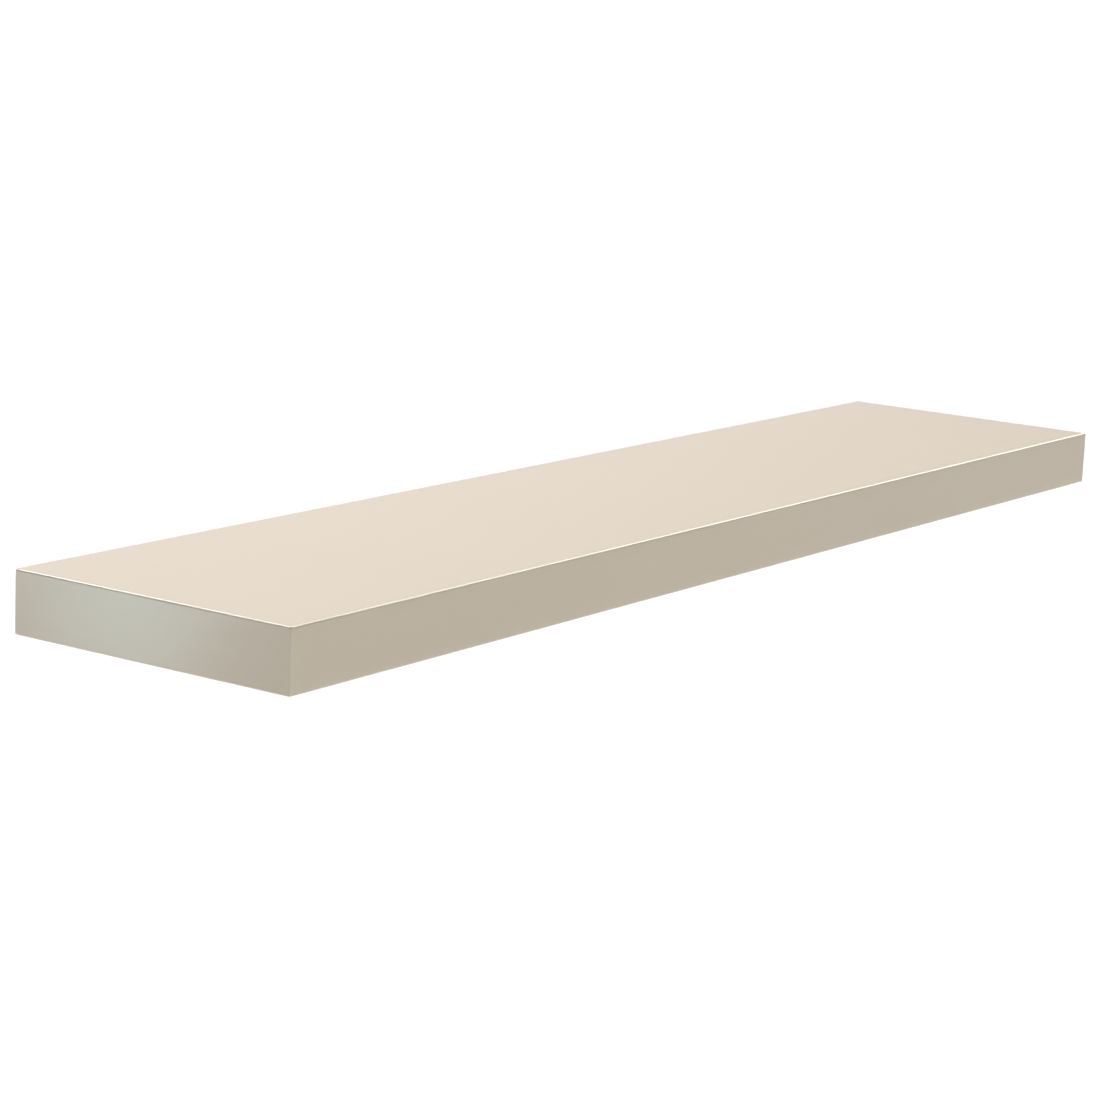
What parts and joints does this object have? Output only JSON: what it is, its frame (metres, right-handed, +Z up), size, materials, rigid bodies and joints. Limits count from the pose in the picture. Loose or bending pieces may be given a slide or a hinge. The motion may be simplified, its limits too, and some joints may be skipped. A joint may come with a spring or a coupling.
{
  "type": "floating wall shelf",
  "caption": "Long straight wall shelf in gloss cream: a hollow-core board that slides over the rods of a hidden steel wall bracket and is locked on from below.",
  "frame": {"origin": "middle of the wall rail's back face, on the wall, at half the board's thickness", "axes": "+X along the shelf to the right as seen from the room, +Y into the wall, +Z up"},
  "size_m": [1.2, 0.254, 0.048],
  "materials": {
    "lacquer": "gloss cream lacquer on fibreboard",
    "frame_wood": "planed softwood, unfinished",
    "honeycomb_paper": "brown kraft paper",
    "dowel_beech": "turned beech, unfinished",
    "bracket_steel": "bright zinc plate",
    "insert_brass": "turned brass",
    "lock_steel": "black oxide"
  },
  "bodies": {
    "bracket": {"wall_rail": "bracket_steel", "outer_left_rod": "bracket_steel", "inner_left_rod": "bracket_steel", "inner_right_rod": "bracket_steel", "outer_right_rod": "bracket_steel"},
    "shelf": {"top_skin": "lacquer", "bottom_skin": "lacquer", "front_skin": "lacquer", "left_end_skin": "lacquer", "right_end_skin": "lacquer", "front_rail": "frame_wood", "left_end_rail": "frame_wood", "right_end_rail": "frame_wood", "rear_rail": "frame_wood", "outer_left_rib": "frame_wood", "inner_left_rib": "frame_wood", "inner_right_rib": "frame_wood", "outer_right_rib": "frame_wood", "honeycomb_bay_1": "honeycomb_paper", "honeycomb_bay_2": "honeycomb_paper", "honeycomb_bay_3": "honeycomb_paper", "honeycomb_bay_4": "honeycomb_paper", "honeycomb_bay_5": "honeycomb_paper", "frame_dowels": "dowel_beech", "lock_insert_left": "insert_brass", "lock_insert_right": "insert_brass"},
    "lock_screw_left": {"lock_screw_left": "lock_steel"},
    "lock_screw_right": {"lock_screw_right": "lock_steel"}
  },
  "joints": [
    {"name": "shelf_slide", "type": "slide", "parent": "bracket", "child": "shelf", "axis": [0, -1, 0], "range_m": [0, 0.17]},
    {"name": "lock_screw_left_travel", "type": "slide", "parent": "shelf", "child": "lock_screw_left", "axis": [0, 0, -1], "range_m": [0, 0.005]},
    {"name": "lock_screw_right_travel", "type": "slide", "parent": "shelf", "child": "lock_screw_right", "axis": [0, 0, -1], "range_m": [0, 0.005]}
  ]
}
